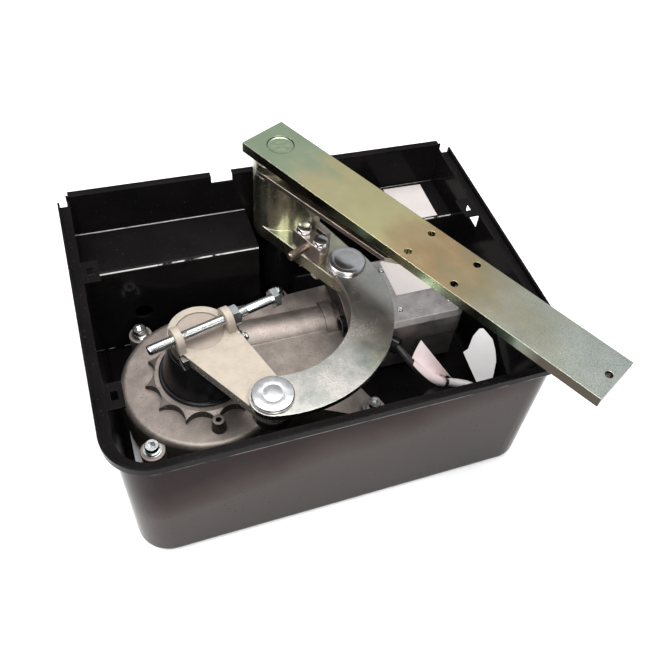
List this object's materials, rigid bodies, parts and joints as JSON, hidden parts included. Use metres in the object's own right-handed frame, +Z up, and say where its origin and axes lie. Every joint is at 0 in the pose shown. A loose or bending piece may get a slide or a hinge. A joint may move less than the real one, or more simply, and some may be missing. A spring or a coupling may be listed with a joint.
{
  "type": "underground gate operator",
  "caption": "Open sunken box holding a worm gear motor whose crank, through a curved link, swings a lever and the flat bar that carries a hinged gate.",
  "frame": {"origin": "On the underside of the box, under the middle of its rim.", "axes": "+X along the box's long side to the motor end, +Y towards the gate pivot, +Z up."},
  "size_m": [0.4013, 0.3724, 0.217],
  "materials": {
    "black_paint": "semi-gloss black paint on folded sheet steel",
    "yellow_zinc": "yellow passivated zinc on steel",
    "blue_zinc": "blue passivated zinc on steel",
    "bolt_zinc": "bright zinc on steel fasteners",
    "lock_casting": "grey zinc on a cast block",
    "release_steel": "bare drawn steel, slightly browned",
    "sand_paint": "matte sand-coloured finish on a casting",
    "cast_aluminium": "bead-blasted die-cast aluminium",
    "motor_aluminium": "die-cast aluminium",
    "black_plastic": "moulded black plastic",
    "machined_steel": "turned steel",
    "bronze": "sintered bronze",
    "lamination": "varnished laminations",
    "cable_sheath": "black rubber sheath"
  },
  "bodies": {
    "box": {"foundation_box": "black_paint", "lid_tabs": "black_paint", "shelf_left": "black_paint", "shelf_right": "black_paint", "pivot_post": "machined_steel", "post_foot": "black_paint", "pivot_ball": "machined_steel", "gearbox_housing": "cast_aluminium", "gearbox_cover": "cast_aluminium", "cover_screws": "bolt_zinc", "mount_screws": "bolt_zinc", "mount_washers": "bolt_zinc", "shaft_shroud": "black_plastic", "output_bearings": "machined_steel", "worm_bearings": "machined_steel", "motor_flange": "cast_aluminium", "inspection_plug": "cast_aluminium", "motor_cover": "motor_aluminium", "motor_base": "motor_aluminium", "motor_stator": "lamination", "motor_tail_bearing": "machined_steel", "cable_gland": "black_plastic", "motor_lead": "cable_sheath", "lead_coil": "cable_sheath"},
    "crank": {"output_shaft": "machined_steel", "worm_wheel": "bronze", "drive_lever": "sand_paint", "shaft_cap": "sand_paint", "stop_lock_nut": "bolt_zinc", "clamp_bolt": "bolt_zinc", "clamp_nut": "bolt_zinc", "crank_bush": "black_plastic", "crank_pin": "blue_zinc", "crank_pin_clip": "bolt_zinc"},
    "link": {"curved_link": "blue_zinc", "link_bush": "bronze", "link_pin": "blue_zinc", "link_pin_clip": "bolt_zinc"},
    "lever": {"gate_lever": "yellow_zinc", "lever_bushes": "bronze", "lock_block": "lock_casting", "lock_bolts": "bolt_zinc", "lock_nuts": "bolt_zinc"},
    "release": {"release_pin": "release_steel"},
    "stop": {"stop_bolt": "bolt_zinc"},
    "arm": {"gate_arm": "yellow_zinc", "lock_plate": "yellow_zinc", "arm_collar": "yellow_zinc", "arm_plug": "yellow_zinc"},
    "rotor": {"worm_shaft": "machined_steel", "motor_rotor": "machined_steel"}
  },
  "joints": [
    {"name": "gate_swing", "type": "hinge", "parent": "box", "child": "lever", "pos_m": [0.0055, 0.121, 0.16], "axis": [0, 0, 1], "range_deg": [-32, 57]},
    {"name": "crank_swing", "type": "hinge", "parent": "box", "child": "crank", "pos_m": [-0.104, -0.009, 0.1], "axis": [0, 0, 1], "range_deg": [-32, 57]},
    {"name": "link_swing", "type": "hinge", "parent": "crank", "child": "link", "pos_m": [-0.06181, -0.09745, 0.135], "axis": [0, 0, 1], "range_deg": [-57, 32]},
    {"name": "worm_spin", "type": "hinge", "parent": "box", "child": "rotor", "pos_m": [0, 0.032, 0.047], "axis": [1, 0, 0], "range_deg": [-1280, 2280]},
    {"name": "arm_release", "type": "hinge", "parent": "lever", "child": "arm", "pos_m": [0.0055, 0.121, 0.2], "axis": [0, 0, 1], "range_deg": [-90, 90]},
    {"name": "release_slide", "type": "slide", "parent": "lever", "child": "release", "axis": [0.9026, 0.4305, 0], "range_m": [0, 0.006]},
    {"name": "stop_screw", "type": "slide", "parent": "crank", "child": "stop", "axis": [0.9681, 0.2504, 0], "range_m": [-0.015, 0]}
  ],
  "couplings": [
    {"joint": "crank_swing", "follows": "gate_swing", "ratio": 1},
    {"joint": "link_swing", "follows": "gate_swing", "ratio": -1},
    {"joint": "worm_spin", "follows": "gate_swing", "ratio": 40}
  ]
}
